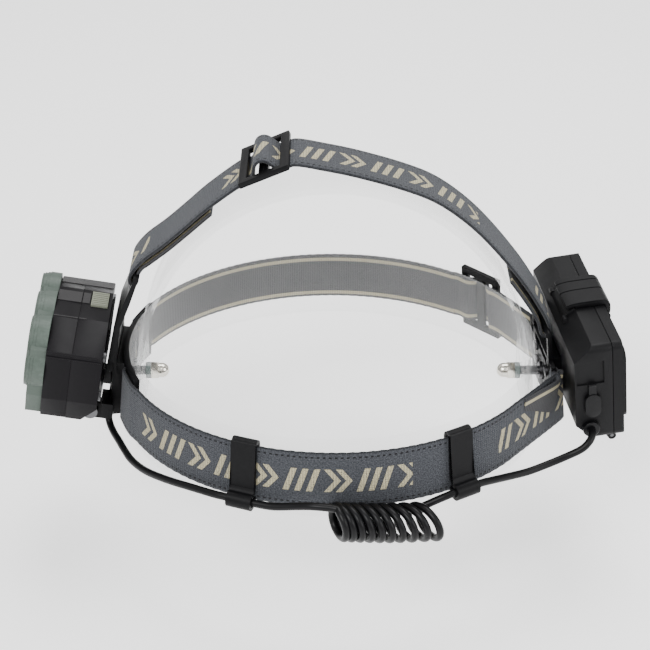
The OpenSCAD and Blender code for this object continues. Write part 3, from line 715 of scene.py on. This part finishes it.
def lobe_arcs(lobe, reach):
    """Runs of points round a lobe, reach outside it, that no other lobe covers."""
    y0, z0, r = lobe
    runs, run = [], []
    for k in range(145):
        angle = 2 * math.pi * (k + 0.5) / 144 - math.pi / 2
        y, z = y0 + (r + reach) * math.cos(angle), z0 + (r + reach) * math.sin(angle)
        covered = any(math.hypot(y - other_y, z - other_z) < other_r + reach
                      for other_y, other_z, other_r in SCALLOPS if (other_y, other_z, other_r) != lobe)
        if covered or z < LOBE_FOOT:
            if len(run) > 3:
                runs.append(run)
            run = []
        else:
            run.append((y, z, angle))
    return runs + ([run] if len(run) > 3 else [])


def make_bezel_steps(material):
    """Three steps round the front rim of every lobe of the bezel."""
    work = bmesh.new()
    place = place_lamp()
    for lobe in SCALLOPS:
        for step in range(RIM_STEPS):
            reach = RIM_RISE * (step + 1)
            front = LAMP_FRONT + 0.9 + RIM_DEPTH * step
            back = BEZEL_BACK if step == RIM_STEPS - 1 else front + 1.4
            for run in lobe_arcs(lobe, reach):
                rings = []
                for y, z, angle in run:
                    dy, dz = math.cos(angle), math.sin(angle)
                    corners = [(front, 0.8 + reach), (front, 0.1), (front + 0.12, 0), (back, 0),
                               (back, 0.8 + reach)]
                    rings.append([work.verts.new(place @ Vector((x, y - dy * d, z - dz * d)) * MM)
                                  for x, d in corners])
                for one, two in zip(rings, rings[1:]):
                    for j in range(5):
                        work.faces.new([one[j], one[(j + 1) % 5], two[(j + 1) % 5], two[j]])
                work.faces.new(rings[0][::-1])
                work.faces.new(rings[-1])
    bmesh.ops.recalc_face_normals(work, faces=work.faces)
    mesh = bpy.data.meshes.new("bezel_steps")
    work.to_mesh(mesh)
    piece = add_object("bezel_steps", mesh, material, "lamp")
    smooth_faces(piece, 25)


def make_lamp_details(black, painted_light_black):
    place = place_lamp()
    for side, name in ((-1, "near"), (1, "far")):
        for level, low, high in (("upper", 11.0, 11.9), ("lower", 8.9, 9.6)):
            bar(f"corner_rib_{name}_{level}", (BEZEL_BACK + 0.2, side * LAMP_HALF - 0.35, low),
                (-0.3, side * LAMP_HALF + 0.35, high), place, black, "lamp", 0.2)
    # The top facet, bands and lines take a paler black: painted light for facets that face the lamps above,
    # not a colour of their own
    slope = (place @ Matrix.Translation((0, 12, 18))
             @ Matrix.Rotation(-math.atan2(6.2, LAMP_HALF - 12), 4, "X"))
    bar("top_facet_far", (BEZEL_BACK + 0.3, 8.5, -0.3), (-0.3, 19.6, 0.3), slope, painted_light_black, "lamp",
        0.15)
    for part, x0, x1 in (("front", BEZEL_BACK + 0.3, SEAM - 0.15), ("rear", SEAM + 0.15, -9.4)):
        bar(f"top_band_{part}", (x0, 0.6, 17.8), (x1, 9, 18.35), place, painted_light_black, "lamp",
            0.15)
        bar(f"top_line_{part}", (x0, -12.3, 17.7), (x1, -11.7, 18.3), place, painted_light_black, "lamp",
            0.12)
    bar("bottom_lug", (SEAM - 1.2, -25.5, -24.6), (SEAM + 3.2, -20.5, -22.8), place, black,
        "lamp", 0.6)


RIDGE_OUTER = [(4.0, 24.5), (4.3, 25.7), (7.8, 26.5), (14, 26.6), (20.4, 26.3), (22.4, 25.2),
               (23.3, 23.4), (23.3, 20.6), (22.9, 18.6)]
RIDGE_INNER = [(21.9, 18.9), (22.2, 23.2), (20.3, 25.0), (7.8, 25.2), (4.6, 24.3)]
RIDGE_SPANS = [(-8.7, 1.6), (2.2, 8.9), (9.5, 12.7)]


def make_latch_ridges(material):
    """Three ridges of the latch, from its nose over the top and down its back."""
    outer = [Vector(v) for v in RIDGE_OUTER]
    outline = [(v.x, v.y) for v in curve_points(outer, 4)] + RIDGE_INNER
    for k, (low, high) in enumerate(RIDGE_SPANS):
        place = place_box() @ seen_from_side((low + high) / 2)
        extrude_outline(f"latch_ridge_{k + 1}", outline, place, high - low, material, "latch",
                        0.35)


BUTTON_Y = 4.6
RIB_PITCH = 1.5
RIBS = 7


def make_switch_ribs(material):
    for k in range(RIBS):
        y = BUTTON_Y + RIB_PITCH * (k - (RIBS - 1) / 2)
        bar(f"switch_rib_{k + 1}", (-8.5, y - 0.42, 18.6), (-1.9, y + 0.42, 19.1), place_lamp(),
            material, "switch", 0.15)


# ---- The scene ----

MATERIALS = {
    "clear_plastic": clear_plastic("clear_plastic", (0.8, 0.81, 0.81), 0.04, 0.5),
    "bright_steel": metal("bright_steel", (0.72, 0.69, 0.62), 0.16),
    "steel": metal("steel", (0.12, 0.12, 0.125), 0.35, 0.00001),
    "nut_plastic": clear_plastic("nut_plastic", (0.2, 0.24, 0.23), 0.6, 0.9, 0.25),
    "black_plastic": moulded("black_plastic", (0.004, 0.004, 0.0045), 0.4, shine=0.09),
    "lamp_black": moulded("lamp_black", (0.0045, 0.004, 0.005), 0.36, 0.00002, shine=0.09),
    "box_black": moulded("box_black", (0.005, 0.005, 0.0055), 0.45, 0.00005, 2600, shine=0.11),
    "lead_rubber": moulded("lead_rubber", (0.003, 0.003, 0.0035), 0.34, 0.00001, 900, shine=0.16),
    "sage_plastic": moulded("sage_plastic", (0.06, 0.078, 0.066), 0.42, 0.00002, shine=0.2),
    "switch_rubber": moulded("switch_rubber", (0.17, 0.18, 0.14), 0.6, 0.00003, shine=0.25),
    "clear_lens": clear_plastic("clear_lens", (0.9, 0.94, 0.95), 0.08, 0.6, 0.05),
    "reflector": metal("reflector", (0.85, 0.85, 0.86), 0.08),
    "circuit_white": moulded("circuit_white", (0.8, 0.8, 0.78), 0.35),
    "led_yellow": moulded("led_yellow", (0.75, 0.6, 0.08), 0.4),
    "aluminium": metal("aluminium", (0.7, 0.71, 0.72), 0.35, 0.00002),
    "circuit_green": moulded("circuit_green", (0.02, 0.14, 0.05), 0.3, clear=0.4),
    "seal_rubber": moulded("seal_rubber", (0.01, 0.01, 0.01), 0.7, shine=0.2),
    "cell_wrap": moulded("cell_wrap", (0.03, 0.09, 0.35), 0.25, clear=0.5),
}
BEVELS = {
    "box_base": 0.9, "box_cover": 0.9, "latch": 0.4, "port_plug": 0.3, "lamp_front_housing": 0.35,
    "lamp_rear_cover": 0.45, "lamp_bezel": 0.35, "rear_panel": 0.3, "front_plate": 0.5, "rear_plate": 0.4,
    "hinge_yoke": 0.5, "crown_slider": 0.5, "side_slider": 0.5, "switch_button": 0.3, "hex_nuts": 0.25,
    "acorn_nuts": 0.15, "form_ring": 0.3, "form_arch": 0.3, "lead_gland_front": 0.3, "lead_gland_rear": 0.4,
}


def dress_nodes():
    slots = {row["node"]: row["material_slot"] for row in frame["record"]["subparts"]}
    for name, node in NODES.items():
        material = MATERIALS.get(slots[name])
        if material is None:
            continue
        node.data.materials.clear()
        node.data.materials.append(material)
        if name in BEVELS:
            round_edges(node, BEVELS[name])


make_camera()
make_lead(MATERIALS["lead_rubber"])
make_stage()
dress_nodes()
make_side_straps(webbing_material("webbing_near", 0.136), webbing_material("webbing_far", 0.06))
make_crown_straps(webbing_material("webbing_crown", 0.0))
make_clips(MATERIALS["black_plastic"])
make_bezel_steps(MATERIALS["sage_plastic"])
# The paler black for the lamp's top facets is painted light, lighter because those facets face the lamps
make_lamp_details(MATERIALS["lamp_black"], moulded("lamp_painted_light_facets", (0.022, 0.021, 0.022), 0.5, shine=0.2))
make_latch_ridges(MATERIALS["box_black"])
make_switch_ribs(MATERIALS["switch_rubber"])
